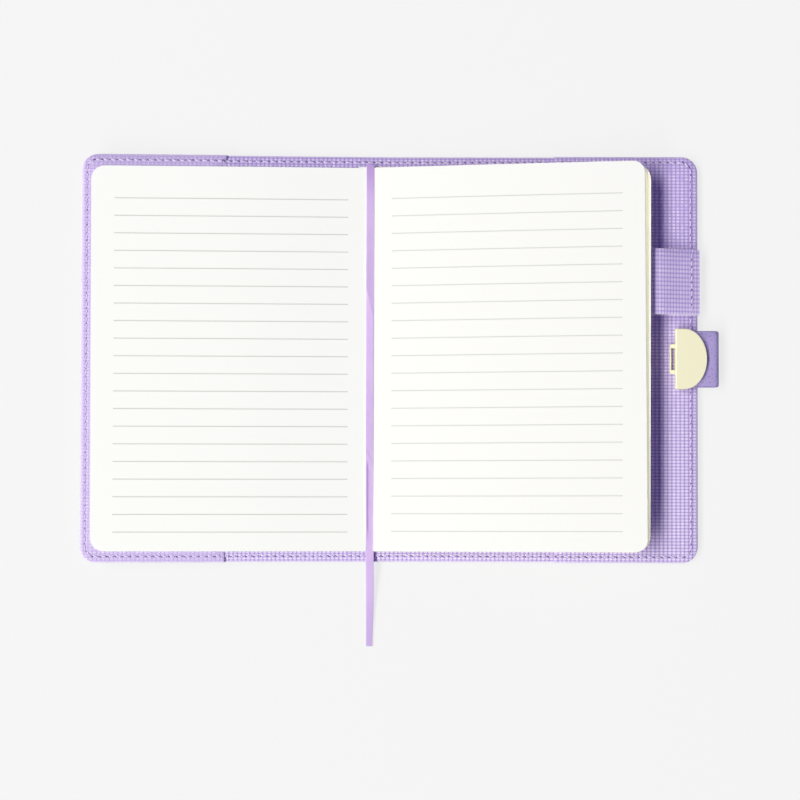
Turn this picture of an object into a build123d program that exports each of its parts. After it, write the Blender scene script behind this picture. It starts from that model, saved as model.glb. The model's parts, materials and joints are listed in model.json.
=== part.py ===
from build123d import *
import math
import os

# Lockable diary, lying open at its first page. Millimetres, +Z up, back cover flat on the table.
# X runs from the front cover (left) to the back cover (right), and Y runs up the page.

# Notebook
page_width = 105.0
page_height = 148.0
page_corner = 4.4
signature_count = 5
block_rise = 9.3
bound_thickness = 1.0
page_crown = 1.3
page_fan = 2.75
page_trim = 1.0
leaf_thickness = 0.15
left_stack = 0.6
block_shift = 0.45
page_lean = 1.1
binding_lip = 1.0
card_thickness = 0.25
glue_width = 7.0
gutter_offset = 9.5
gutter_dip = 0.6

# Slip-on cover
fore_margin = 4.0
head_margin = 4.0
cover_corner = 6.2
skin_thickness = 0.7
board_thickness = 1.0
lining_thickness = 0.5
hem_width = 3.0
soft_spine_width = 40.0
pocket_width = 55.0
pocket_sheet = 0.45
pocket_seam = 3.0

# Ribbon marker, with its route as (y, z) points from the head of the block to the table
ribbon_width = 3.0
ribbon_thickness = 0.25
ribbon_route = [
    (73.0, 3.3),
    (40.0, 2.95),
    (2.0, 3.2),
    (-36.0, 2.95),
    (-62.0, 3.15),
    (-78.0, 3.0),
    (-88.0, 1.7),
    (-97.0, 0.55),
    (-110.5, 0.25),
]
ribbon_turn_share = 0.45

# Pen loop
loop_length = 26.0
loop_middle = 29.3
loop_wall = 0.55
loop_height = 5.6
loop_flat = 5.6
loop_seam_height = 1.3
loop_corner = 1.6

# Lock strap
strap_width = 21.6
strap_thickness = 1.0
strap_tail = 8.0
strap_lower_length = 6.7

# Clasp on the strap
clasp_radius = 11.55
clasp_strip = 3.4
clasp_bulge = 8.65
clasp_setback = 9.0
clasp_height = 1.4
clasp_wall = 0.5
clasp_edge_round = 0.3
clasp_plate = 0.6
clasp_plate_inset = 0.8
tongue_width = 11.4
tongue_bar = 0.5
tongue_slot_width = 1.3
tongue_slot_length = 8.5
tongue_tail = 3.0
tongue_thickness = 0.6
tongue_chamfer = 0.6
clasp_rivet_depth = 6.0
clasp_rivet_spacing = 12.0
rivet_diameter = 1.6

# Lock on the outside of the front cover
lock_height = 3.4
lock_wall = 0.4
lock_roof = 0.6
lock_base = 0.4
lock_edge_round = 0.4
lock_backing = 0.5
lock_backing_width = 9.0
lock_backing_length = 20.0
lock_rivet_depth = 4.0
lock_rivet_spacing = 15.0
plug_diameter = 5.0
plug_flange = 6.6
plug_flange_height = 0.7
plug_pin = 2.0
plug_depth = 6.8
keyhole_length = 2.8
keyhole_width = 0.7
keyhole_depth = 0.9
tooth_length = 8.0
latch_plate = 0.3
latch_length = 2.6
spring_thickness = 0.15
spring_width = 1.6
spring_crest = 2.0
spring_foot = 0.9

# Clearances
slide_gap = 0.05
running_gap = 0.1
soft_gap = 0.2
sweep_gap = 0.3
closing_gap = 0.35
card_gap = 1.5
loop_gap = 0.7
clasp_lift = 0.8

# Levels through the flat cover
core_height = max(board_thickness, strap_thickness)
lining_low = skin_thickness + core_height
lining_top = lining_low + lining_thickness
card_low = lining_top + slide_gap
card_top = card_low + card_thickness
pocket_low = card_top + slide_gap
pocket_top = pocket_low + pocket_sheet
stack_low = pocket_top + slide_gap
stack_top = stack_low + left_stack
leaf_low = running_gap
block_top = pocket_top + block_rise
closed_height = block_top + leaf_low + leaf_thickness + closing_gap + stack_top
axis_height = closed_height / 2

# Plan, with the middle of the spine at x = 0
cover_height = page_height + 2 * head_margin
stack_outer = gutter_offset + page_width - gutter_dip
cover_reach = stack_outer + fore_margin
soft_half = soft_spine_width / 2
card_outer = cover_reach - pocket_seam - card_gap
card_height = cover_height - 2 * (pocket_seam + card_gap)
block_left = -gutter_offset + ribbon_width + 2 * running_gap
block_right = block_left + page_width
sweep_radius = math.hypot(cover_reach, axis_height)

# Strap, hinged just outside the swing of the front cover, and folded back over the inside
strap_hinge = sweep_radius + sweep_gap + strap_thickness / 2
strap_level = skin_thickness + strap_thickness / 2
strap_corner = strap_thickness * math.sqrt(0.5) + running_gap
clasp_low = pocket_top + soft_gap
strap_end_low = clasp_low + clasp_plate
strap_end_top = strap_end_low + strap_thickness
strap_end_level = strap_end_low + strap_thickness / 2
strap_fold_length = strap_end_level - strap_level
strap_run = closed_height + clasp_lift + clasp_plate + strap_thickness / 2 - strap_level
strap_upper_length = strap_run - strap_lower_length - strap_fold_length
strap_fold_x = strap_hinge + strap_lower_length
strap_end_hinge = strap_fold_x - strap_upper_length
clasp_flat = cover_reach - clasp_setback

# Lock, where the tongue lands when the strap is wrapped over the closed front cover
tongue_reach = tongue_bar + tongue_slot_width
clasp_flat_closed = clasp_flat + strap_hinge - strap_end_hinge
lock_face = clasp_flat_closed - soft_gap
lock_round_end = lock_face - clasp_strip - clasp_bulge
tongue_low = clasp_lift + clasp_plate
tongue_high = tongue_low + tongue_thickness
tooth_outer = lock_face - lock_wall - running_gap
tooth_inner = clasp_flat_closed - tongue_reach + tongue_bar + running_gap
latch_high = tongue_low - 2 * running_gap
latch_low = latch_high - latch_plate
lock_cavity = lock_height - lock_roof

# The lock case under the front cover lifts it: the tilt that lets the case just touch the table
lock_arm = math.hypot(lock_round_end, axis_height + lock_height)
lock_slope = math.atan2(axis_height + lock_height, lock_round_end)
front_tilt = math.degrees(lock_slope - math.asin(axis_height / lock_arm))

# Shift that puts the middle of the whole diary at x = 0
tilt_angle = math.radians(front_tilt)
reach_left = cover_reach * math.cos(tilt_angle) + axis_height * math.sin(tilt_angle)
reach_right = strap_fold_x + strap_thickness / 2
centre_shift = (reach_left - reach_right) / 2


def box(x_low, x_high, y_low, y_high, z_low, z_high):
    middle = Pos((x_low + x_high) / 2, (y_low + y_high) / 2, (z_low + z_high) / 2)
    return middle * Box(x_high - x_low, y_high - y_low, z_high - z_low)


def rounded_outline(x_inner, x_outer, height, radius):
    """Rectangle from x_inner to x_outer with its two corners at x_outer rounded."""
    width = abs(x_outer - x_inner)
    rounded = Pos(x_inner, 0) * RectangleRounded(2 * width, height, radius)
    return rounded & (Pos((x_inner + x_outer) / 2, 0) * Rectangle(width, height))


def slab(outline, z_low, z_high):
    return Pos(0, 0, z_low) * extrude(outline, z_high - z_low)


def side_prism(edges, length, y_middle=0.0):
    """Solid with the given outline in x and z, extruded along y."""
    return extrude(Plane.XZ.offset(-y_middle) * make_face(edges), length / 2, both=True)


def half_moon(x_flat, inset=0.0):
    """Half oval with a straight strip, flat side at x_flat, round side towards +x."""
    radius = clasp_radius - inset
    left = x_flat + inset
    round_start = x_flat + clasp_strip
    outline = [
        Line((left, radius), (left, -radius)),
        Line((left, -radius), (round_start, -radius)),
        EllipticalCenterArc((round_start, 0), clasp_bulge - inset, radius, start_angle=-90, arc_size=180),
        Line((round_start, radius), (left, radius)),
    ]
    return make_face(outline)


def round_top(shape, radius):
    return fillet(shape.faces().sort_by(Axis.Z)[-1].outer_wire().edges(), radius)


def pin_pair(x, spacing, diameter, z_low, z_high):
    pin = Pos(0, 0, (z_low + z_high) / 2) * Cylinder(diameter / 2, z_high - z_low)
    return Pos(x, spacing / 2, 0) * pin + Pos(x, -spacing / 2, 0) * pin


def turned(x, z):
    """Point of the flat front cover after it is turned up by the rest tilt."""
    up = z - axis_height
    turned_x = x * math.cos(tilt_angle) + up * math.sin(tilt_angle)
    turned_z = axis_height - x * math.sin(tilt_angle) + up * math.cos(tilt_angle)
    return turned_x, turned_z


def on_front(shape):
    """Put a piece of the flat front cover where the tilted cover lies."""
    return Pos(0, 0, axis_height) * Rot(0, front_tilt, 0) * Pos(0, 0, -axis_height) * shape


# Cover panels

def outer_skin(side):
    """Skin with its turned-up hem along the head, fore-edge and tail."""
    outline = rounded_outline(side * soft_half, side * cover_reach, cover_height, cover_corner)
    inner_corner = max(cover_corner - hem_width, running_gap)
    inside = rounded_outline(
        side * soft_half,
        side * (cover_reach - hem_width),
        cover_height - 2 * hem_width,
        inner_corner,
    )
    return slab(outline, 0, lining_low) - slab(inside, skin_thickness, lining_low)


def board(side):
    inner_corner = max(cover_corner - hem_width, running_gap)
    outline = rounded_outline(
        side * soft_half,
        side * (cover_reach - hem_width - running_gap),
        cover_height - 2 * (hem_width + running_gap),
        inner_corner,
    )
    return slab(outline, skin_thickness, skin_thickness + board_thickness)


def lining(side):
    outline = rounded_outline(side * soft_half, side * cover_reach, cover_height, cover_corner)
    return slab(outline, lining_low, lining_top)


def pocket(side):
    """Sheet sewn onto the lining along the head, fore-edge and tail, open towards the spine."""
    mouth = side * (cover_reach - pocket_width)
    outline = rounded_outline(mouth, side * cover_reach, cover_height, cover_corner)
    inner_corner = max(cover_corner - pocket_seam, running_gap)
    inside = rounded_outline(
        mouth,
        side * (cover_reach - pocket_seam),
        cover_height - 2 * pocket_seam,
        inner_corner,
    )
    return slab(outline, lining_top, pocket_top) - slab(inside, lining_top, pocket_low)


def soft_spine(z_low, z_high):
    """Layer of the soft spine: flat under the block, then rising to the tilted front cover."""
    corners = [
        (soft_half, z_low),
        (soft_half, z_high),
        (-gutter_offset, z_high),
        turned(-soft_half, z_high),
        turned(-soft_half, z_low),
        (-gutter_offset, z_low),
    ]
    return side_prism(Polyline(*corners, close=True), cover_height)


def strap_way():
    """Room for the sewn end of the strap through the hem and the board."""
    half = strap_width / 2 + running_gap
    inner = cover_reach - strap_tail - running_gap
    return box(inner, cover_reach + hem_width, -half, half, skin_thickness, lining_low)


def back_outer_skin():
    return outer_skin(1) - strap_way()


def back_board():
    return board(1) - strap_way()


def front_outer_skin():
    holes = pin_pair(
        -lock_face + lock_rivet_depth,
        lock_rivet_spacing,
        rivet_diameter + running_gap,
        0,
        skin_thickness,
    )
    return on_front(outer_skin(-1) - holes)


def lock_backing_outline(grow):
    width = lock_backing_width + 2 * grow
    length = lock_backing_length + 2 * grow
    return Pos(-lock_face + lock_rivet_depth, 0) * Rectangle(width, length)


def front_board():
    recess = slab(
        lock_backing_outline(running_gap),
        skin_thickness,
        skin_thickness + lock_backing + running_gap,
    )
    return on_front(board(-1) - recess)


# Notebook

def card(x_inner, x_outer):
    outline = rounded_outline(x_inner, x_outer, card_height, page_corner)
    return slab(outline, card_low, card_top)


def fore_edge(share):
    """End of the sheet at this share: upright, except that the uppermost sheets fan out."""
    fanned = max(share * signature_count - (signature_count - 1), 0.0)
    return block_right - page_fan * fanned


def block_level(share):
    """Start, middle and untrimmed end, in x and z, of the sheet at this share of the block's height."""
    start_x = block_left
    end_x = fore_edge(share) + page_trim
    start_z = pocket_top + bound_thickness * share
    end_z = pocket_top + block_rise * share
    crown = page_crown * share
    return (start_x, start_z), ((start_x + end_x) / 2, (start_z + end_z) / 2 + crown), (end_x, end_z)


def sheet_line(points):
    start, middle, end = points
    if math.isclose(middle[1], (start[1] + end[1]) / 2):
        return Line(start, end)
    return ThreePointArc(start, middle, end)


def sheets_between(low_share, high_share, fan, low_lift=0.0, high_lift=0.0):
    """Sheets of the block between two levels, bound at the left and trimmed at the fore-edge."""
    low = [(x, z + low_lift) for x, z in block_level(low_share)]
    high = [(x, z + high_lift) for x, z in block_level(high_share)]
    outline = [
        sheet_line(low),
        Line(low[2], high[2]),
        sheet_line(high),
        Line(high[0], low[0]),
    ]
    length = page_height + 2 * (block_shift + page_lean)
    return side_prism(outline, length) & trimmed_block(fan)


def trimmed_block(fan):
    """Prism that the sheets are trimmed to: rounded corners, and a head and tail that lean."""
    left = block_left - page_width
    right = block_right + fan * (signature_count - 1)
    half = page_height / 2
    right_rise = block_shift + page_lean / 2
    left_rise = right_rise - 2 * page_lean
    outline = Polyline(
        (left, left_rise - half),
        (right, right_rise - half),
        (right, right_rise + half),
        (left, left_rise + half),
        close=True,
    )
    face = make_face(outline)
    trimmed = fillet(face.vertices().group_by(Axis.X)[-1], page_corner)
    step = Vector(-fan, 0, block_rise / signature_count)
    return Pos(0, 0, pocket_top) * extrude(trimmed, 2 * signature_count * step.length, dir=step)


def signature(number):
    fan = page_fan if number == signature_count else 0.0
    return sheets_between((number - 1) / signature_count, number / signature_count, fan)


def top_leaf():
    return sheets_between(1, 1, page_fan, leaf_low, leaf_low + leaf_thickness)


def left_leaves():
    """First leaves, lying on the front pocket and dipping to the card towards the gutter."""
    mouth = -(cover_reach - pocket_width)
    dip = card_top + soft_gap
    corners = [
        (-stack_outer, stack_low),
        (mouth + pocket_seam, stack_low),
        (-gutter_offset, dip),
        (-gutter_offset, dip + left_stack),
        (mouth + pocket_seam, stack_top),
        (-stack_outer, stack_top),
    ]
    stack = side_prism(Polyline(*corners, close=True), page_height)
    outline = rounded_outline(0, -stack_outer, page_height, page_corner)
    return on_front(stack & slab(outline, 0, 2 * stack_top))


def binding_glue():
    half = page_height / 2
    return box(block_left, block_left + glue_width, -half, half, card_top, pocket_top)


def ribbon_marker():
    """Flat satin ribbon: straight runs joined by arcs as large as the runs allow."""
    x = block_left - running_gap - ribbon_width / 2
    points = [Vector(x, y, z) for y, z in ribbon_route]
    runs = [after - before for before, after in zip(points, points[1:])]
    radii = []
    for before, after in zip(runs, runs[1:]):
        half_turn = math.radians(before.get_angle(after)) / 2
        shorter = min(before.length, after.length)
        radii.append(ribbon_turn_share * shorter / math.tan(half_turn))
    path = FilletPolyline(*points, radius=radii)
    start = Plane(origin=points[0], x_dir=(1, 0, 0), z_dir=runs[0])
    ribbon = sweep(start * Rectangle(ribbon_width, ribbon_thickness), path=path)
    plain_volume = path.length * ribbon_width * ribbon_thickness
    print("ribbon radii", [round(radius, 1) for radius in radii])
    print("ribbon length", round(path.length, 1), "volume share", round(ribbon.volume / plain_volume, 4))
    return ribbon


# Pen loop

def pen_loop():
    """Band folded into a loop, sewn down at the fore-edge and standing open towards the pages."""
    left = block_right + loop_gap
    right = sweep_radius + sweep_gap
    crest = pocket_top + loop_height
    outline = Polyline(
        (left, pocket_top),
        (right, pocket_top),
        (right, pocket_top + loop_seam_height),
        (left + loop_flat, crest),
        (left, crest),
        close=True,
    )
    face = make_face(outline)
    folded = face.vertices().group_by(Axis.X)[0]
    outer = fillet(folded, loop_corner)
    inner = offset(outer, -loop_wall, kind=Kind.INTERSECTION)
    upright = Plane.XZ.offset(-loop_middle) * (outer - inner)
    return extrude(upright, loop_length / 2, both=True)


# Lock strap, in four stretches that hinge on each other

def strap_run_box(x_low, x_high, level):
    half = strap_width / 2
    rise = strap_thickness / 2
    return box(x_low, x_high, -half, half, level - rise, level + rise)


def strap_root():
    return strap_run_box(cover_reach - strap_tail, strap_hinge + strap_thickness / 2, strap_level)


def strap_lower():
    return strap_run_box(strap_hinge + strap_corner, strap_fold_x - strap_corner, strap_level)


def strap_fold():
    half = strap_width / 2
    rise = strap_thickness / 2
    low = strap_level - rise
    high = strap_end_level + rise
    return box(strap_fold_x - rise, strap_fold_x + rise, -half, half, low, high)


def strap_upper():
    return strap_run_box(strap_end_hinge + strap_corner, strap_fold_x - strap_corner, strap_end_level)


def clasp_rivets(diameter, z_low, z_high):
    return pin_pair(clasp_flat + clasp_rivet_depth, clasp_rivet_spacing, diameter, z_low, z_high)


def clasp_rivet_holes(z_low, z_high):
    return clasp_rivets(rivet_diameter + running_gap, z_low, z_high)


def strap_end():
    start = clasp_flat + tongue_tail + running_gap
    band = strap_run_box(start, strap_end_hinge + strap_thickness / 2, strap_end_level)
    return band - clasp_rivet_holes(strap_end_low, strap_end_top)


def clasp_face():
    shell = round_top(slab(half_moon(clasp_flat), 0, clasp_height), clasp_edge_round)
    cavity = slab(half_moon(clasp_flat, clasp_wall), 0, clasp_height - clasp_wall)
    return Pos(0, 0, strap_end_top) * (shell - cavity)


def clasp_back_plate():
    """Half moon under the end of the strap, cut short of the strap's last hinge."""
    plate = slab(half_moon(clasp_flat, clasp_plate_inset), clasp_low, strap_end_low)
    end = strap_end_hinge - strap_thickness / 2 - soft_gap
    kept = box(clasp_flat, end, -clasp_radius, clasp_radius, clasp_low, strap_end_low)
    return (plate & kept) - clasp_rivet_holes(clasp_low, strap_end_low)


def clasp_tongue():
    tip = clasp_flat - tongue_reach
    half = tongue_width / 2
    plate = Polyline(
        (clasp_flat + tongue_tail, -half),
        (clasp_flat + tongue_tail, half),
        (tip + tongue_chamfer, half),
        (tip, half - tongue_chamfer),
        (tip, -half + tongue_chamfer),
        (tip + tongue_chamfer, -half),
        close=True,
    )
    slot_middle = tip + tongue_bar + tongue_slot_width / 2
    slot = Pos(slot_middle, 0) * Rectangle(tongue_slot_width, tongue_slot_length)
    return slab(make_face(plate) - slot, strap_end_low, strap_end_low + tongue_thickness)


# Lock on the front cover, drawn with its height downwards from the cover's outer face

def lock_case():
    shell = round_top(slab(half_moon(0), 0, lock_height), lock_edge_round)
    cavity = slab(half_moon(0, lock_wall), 0, lock_cavity)
    half = tongue_width / 2 + soft_gap
    mouth = box(0, 2 * lock_wall, -half, half, tongue_low - soft_gap, tongue_high + soft_gap)
    bore = Pos(plug_depth, 0, 0) * cylinder_between(plug_diameter + 2 * running_gap, lock_cavity, lock_height)
    return hang_lock(shell - cavity - mouth - bore)


def hang_lock(shape):
    """Turn a lock piece drawn upwards from z = 0 to hang under the front cover."""
    return on_front(Pos(-lock_face, 0, 0) * Rot(180, 0, 0) * shape)


def lock_rivets(diameter, z_low, z_high):
    return pin_pair(lock_rivet_depth, lock_rivet_spacing, diameter, z_low, z_high)


def latch_span():
    """Ends of the latch, measured inwards from the lock's flat face."""
    start = lock_face - tooth_outer
    return start, start + latch_length


def lock_base_plate():
    plate = slab(half_moon(0, lock_wall + running_gap), 0, lock_base)
    start, end = latch_span()
    half = tooth_length / 2 + running_gap
    window = box(start - running_gap, end + running_gap, -half, half, 0, lock_base)
    holes = lock_rivets(rivet_diameter + running_gap, 0, lock_base)
    return hang_lock(plate - window - holes)


def lock_backing_plate():
    plate = slab(lock_backing_outline(0), skin_thickness, skin_thickness + lock_backing)
    holes = pin_pair(
        -lock_face + lock_rivet_depth,
        lock_rivet_spacing,
        rivet_diameter + running_gap,
        skin_thickness,
        skin_thickness + lock_backing,
    )
    return on_front(plate - holes)


def latch_bolt():
    start, end = latch_span()
    half = tooth_length / 2
    plate = box(start, end, -half, half, latch_low, latch_high)
    tooth_end = lock_face - tooth_inner
    tooth = box(start, tooth_end, -half, half, latch_high, tongue_high + running_gap)
    return hang_lock(plate + tooth)


def latch_spring():
    """Arched leaf spring that stands on the base plate and carries the latch."""
    start, end = latch_span()
    window_half = tooth_length / 2 + running_gap
    foot_start = window_half + running_gap
    foot_end = foot_start + spring_foot
    crest = spring_crest / 2
    crest_low = latch_low - slide_gap - spring_thickness
    half_outline = [
        (foot_end, lock_base),
        (foot_start, lock_base),
        (crest, crest_low),
    ]
    lower = half_outline + [(-y, z) for y, z in reversed(half_outline)]
    upper = [(y, z + spring_thickness) for y, z in reversed(lower)]
    middle = (start + end) / 2
    face = make_face(Polyline(*lower, *upper, close=True))
    strip = extrude(Plane.YZ.offset(middle) * face, spring_width / 2, both=True)
    return hang_lock(strip)


def key_plug():
    flange_top = lock_cavity - running_gap
    flange_low = flange_top - plug_flange_height
    face = lock_height - running_gap
    barrel = cylinder_between(plug_diameter, flange_top, face)
    flange = cylinder_between(plug_flange, flange_low, flange_top)
    pin = cylinder_between(plug_pin, lock_base, flange_low)
    keyhole = box(
        -keyhole_length / 2,
        keyhole_length / 2,
        -keyhole_width / 2,
        keyhole_width / 2,
        face - keyhole_depth,
        face,
    )
    return hang_lock(Pos(plug_depth, 0, 0) * (barrel + flange + pin - keyhole))


def cylinder_between(diameter, z_low, z_high):
    return Pos(0, 0, (z_low + z_high) / 2) * Cylinder(diameter / 2, z_high - z_low)


def all_parts():
    parts = {
        "back_outer_skin": back_outer_skin(),
        "back_board": back_board(),
        "back_lining": lining(1),
        "back_pocket": pocket(1),
        "spine_skin": soft_spine(0, skin_thickness),
        "spine_padding": soft_spine(skin_thickness, lining_low),
        "spine_lining": soft_spine(lining_low, lining_top),
        "front_outer_skin": front_outer_skin(),
        "front_board": front_board(),
        "front_lining": on_front(lining(-1)),
        "front_pocket": on_front(pocket(-1)),
        "back_card": card(block_left - binding_lip, block_right),
        "front_card": on_front(card(-gutter_offset, -card_outer)),
        "binding_glue": binding_glue(),
        "left_leaves": left_leaves(),
        "top_leaf": top_leaf(),
        "ribbon_marker": ribbon_marker(),
        "pen_loop": pen_loop(),
        "strap_root": strap_root(),
        "strap_lower": strap_lower(),
        "strap_fold": strap_fold(),
        "strap_upper": strap_upper(),
        "strap_end": strap_end(),
        "clasp_face": clasp_face(),
        "clasp_back_plate": clasp_back_plate(),
        "clasp_tongue": clasp_tongue(),
        "clasp_rivets": clasp_rivets(rivet_diameter, clasp_low, strap_end_top + clasp_height - clasp_wall),
        "lock_case": lock_case(),
        "lock_base_plate": lock_base_plate(),
        "lock_backing_plate": lock_backing_plate(),
        "lock_rivets": hang_lock(lock_rivets(rivet_diameter, -skin_thickness - lock_backing, lock_base)),
        "latch_bolt": latch_bolt(),
        "latch_spring": latch_spring(),
        "key_plug": key_plug(),
    }
    for number in range(1, signature_count + 1):
        parts[f"signature_{number}"] = signature(number)
    return parts


def main():
    os.makedirs("parts", exist_ok=True)
    for name, shape in all_parts().items():
        export_step(Pos(centre_shift, 0, 0) * shape, f"parts/{name}.step")


if __name__ == "__main__":
    main()
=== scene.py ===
import json
import math
import random

import bmesh
import bpy
from mathutils import Euler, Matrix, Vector


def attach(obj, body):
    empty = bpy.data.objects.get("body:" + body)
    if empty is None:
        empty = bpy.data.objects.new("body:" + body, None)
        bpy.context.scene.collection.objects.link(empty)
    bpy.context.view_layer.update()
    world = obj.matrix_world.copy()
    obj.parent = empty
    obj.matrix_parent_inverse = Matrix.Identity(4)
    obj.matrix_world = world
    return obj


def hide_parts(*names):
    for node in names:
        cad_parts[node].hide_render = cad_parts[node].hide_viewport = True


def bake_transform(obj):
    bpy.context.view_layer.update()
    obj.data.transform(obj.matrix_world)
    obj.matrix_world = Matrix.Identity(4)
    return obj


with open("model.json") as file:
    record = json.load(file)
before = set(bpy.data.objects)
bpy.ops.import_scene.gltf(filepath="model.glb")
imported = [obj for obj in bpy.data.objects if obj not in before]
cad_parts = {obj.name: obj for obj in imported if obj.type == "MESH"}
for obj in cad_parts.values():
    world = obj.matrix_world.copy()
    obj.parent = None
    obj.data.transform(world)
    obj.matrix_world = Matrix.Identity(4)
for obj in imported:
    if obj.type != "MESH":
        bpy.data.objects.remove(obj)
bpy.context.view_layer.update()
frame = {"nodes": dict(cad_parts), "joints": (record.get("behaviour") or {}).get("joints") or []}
nodes = frame["nodes"]
joints = {joint["name"]: joint for joint in frame["joints"]}

# Sizes in millimetres, as in the CAD model, with the middle of the spine at x = 0
MM = 0.001
cover_reach = 117.9
cover_half = 78.0
cover_corner = 6.2
lining_low = 1.7
lining_top = 2.2
pocket_low = 2.55
pocket_top = 3.0
pocket_mouth = 62.9
seam_width = 3.0
stitch_inset = 2.1
left_stitch_inset = 1.85
right_stitch_inset = 2.4
stitch_pitch = 2.9
thread_squash = 0.7
hole_squash = 0.5
pad_long = 1.615
pad_short = 1.25
strap_half = 10.8
loop_half = 12.6
head_drop = 1.15
tail_drop = 0.7
side_drop = 0.5
rim_slope = 4.3
rim_level = 0.62
firm_level = 1.6
seam_dip = 0.06
soft_growth = 0.3
page_half = 73.7
left_page_drop = 0.25
right_page_drop = 0.15
page_corner = 4.4
rim_corner = 6.0
gutter = 9.0
stack_outer = 114.15
stack_low = 3.05
stack_thickness = 0.6
gutter_dip_low = 2.75
block_left = -6.3
block_right = 98.27
block_rise = 9.3
bound_thickness = 1.0
page_crown = 0.4
page_fan = 1.95
page_ledge = 0.55
fan_start = 0.88
page_turned = 0.0066
rim_turned = -0.0026
left_turned = -0.0039
left_corner = 5.2
block_shift = 0.45
page_lean = 1.1
page_width = 105.0
leaf_lift = 0.04
leaf_thickness = 0.08
leaf_bend = 1.2
leaf_bend_steps = 12
bend_half = 7.0

# Angles in degrees from which an edge is drawn sharp
usual_sharp = 40.0
band_sharp = 50.0
paper_sharp = 30.0

# The hinge in the spine, and the tilt of the front cover at rest
axis_x, _, axis_z = joints["cover_close"]["pos_m"]
tilt = math.radians(180.0 - joints["cover_close"]["range_deg"][1])
draw = random.Random(7)


# Places

def back(x, y, z):
    """Point of the right half, which lies flat."""
    return Vector((x * MM + axis_x, y * MM, z * MM))


def bent(x, y, z, share):
    """Point of the flat cover, turned up about the spine's hinge by a share of the tilt."""
    angle = tilt * share
    across = x * MM
    up = z * MM - axis_z
    turned_x = across * math.cos(angle) + up * math.sin(angle)
    turned_z = -across * math.sin(angle) + up * math.cos(angle)
    return Vector((axis_x + turned_x, y * MM, axis_z + turned_z))


def front(x, y, z):
    """Point of the left half, which is turned up by the tilt."""
    return bent(x, y, z, 1.0)


def smooth_step(low, high, value):
    t = min(max((value - low) / (high - low), 0.0), 1.0)
    return t * t * (3.0 - 2.0 * t)


def cover(x, y, z):
    """Point of the whole cover, which bends softly along the spine."""
    return bent(x, y, z, smooth_step(bend_half, -bend_half, x))


# Meshes

def make_piece(name, points, faces, flat, material, sharp=usual_sharp):
    """Mesh object with a flat map in millimetres, as the materials need it."""
    mesh = bpy.data.meshes.new(name)
    mesh.from_pydata(points, [], faces)
    layer = mesh.uv_layers.new(name="flat")
    for loop in mesh.loops:
        layer.data[loop.index].uv = flat[loop.vertex_index]
    made = bmesh.new()
    made.from_mesh(mesh)
    bmesh.ops.recalc_face_normals(made, faces=made.faces)
    made.to_mesh(mesh)
    made.free()
    for polygon in mesh.polygons:
        polygon.use_smooth = True
    mesh.set_sharp_from_angle(angle=math.radians(sharp))
    piece = bpy.data.objects.new(name, mesh)
    bpy.context.scene.collection.objects.link(piece)
    mesh.materials.append(material)
    return piece


def rounded_chain(x_left, x_right, half, radius_left, radius_right, inset, stations):
    """Upper half of a rounded rectangle, from left to right, drawn in by the inset."""
    arc_steps = 8
    smallest = 0.04
    chain = []
    for side, edge, radius in ((-1, x_left, radius_left), (1, x_right, radius_right)):
        small = max(radius - inset, smallest)
        middle_x = edge - side * (inset + small)
        middle_y = half - inset - small
        arc = []
        for step in range(arc_steps + 1):
            angle = math.pi / 2 * step / arc_steps
            arc.append((middle_x + side * small * math.cos(angle), middle_y + small * math.sin(angle)))
        if side < 0:
            chain += arc
            chain += [(x, half - inset) for x in stations]
        else:
            chain += reversed(arc)
    return chain


def closed_sheet(name, outline, profile, place, material, adjust, stations=()):
    """Closed sheet whose rim follows a profile of (inset, height) from the underside to the top."""
    x_left, x_right, half, radius_left, radius_right = outline
    points, flat, faces = [], [], []
    for inset, height in profile:
        upper = rounded_chain(x_left, x_right, half, radius_left, radius_right, inset, stations)
        ring = upper + [(x, -y) for x, y in reversed(upper)]
        for x, y in ring:
            points.append(place(x, y, adjust(x, y, height)))
            flat.append((x, y))
        count = len(ring)
    for row in range(len(profile) - 1):
        for i in range(count):
            after = (i + 1) % count
            a, b = row * count, (row + 1) * count
            faces.append((a + i, a + after, b + after, b + i))
    for start in (0, (len(profile) - 1) * count):
        for i in range(count // 2 - 1):
            faces.append((start + i, start + i + 1, start + count - 2 - i, start + count - 1 - i))
    return make_piece(name, points, faces, flat, material)


# Materials

def linear(*srgb):
    """Colour written as 0 to 255, as the shaders take it."""
    made = []
    for value in srgb:
        share = value / 255.0
        made.append(share / 12.92 if share <= 0.04045 else ((share + 0.055) / 1.055) ** 2.4)
    return (*made, 1.0)


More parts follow.
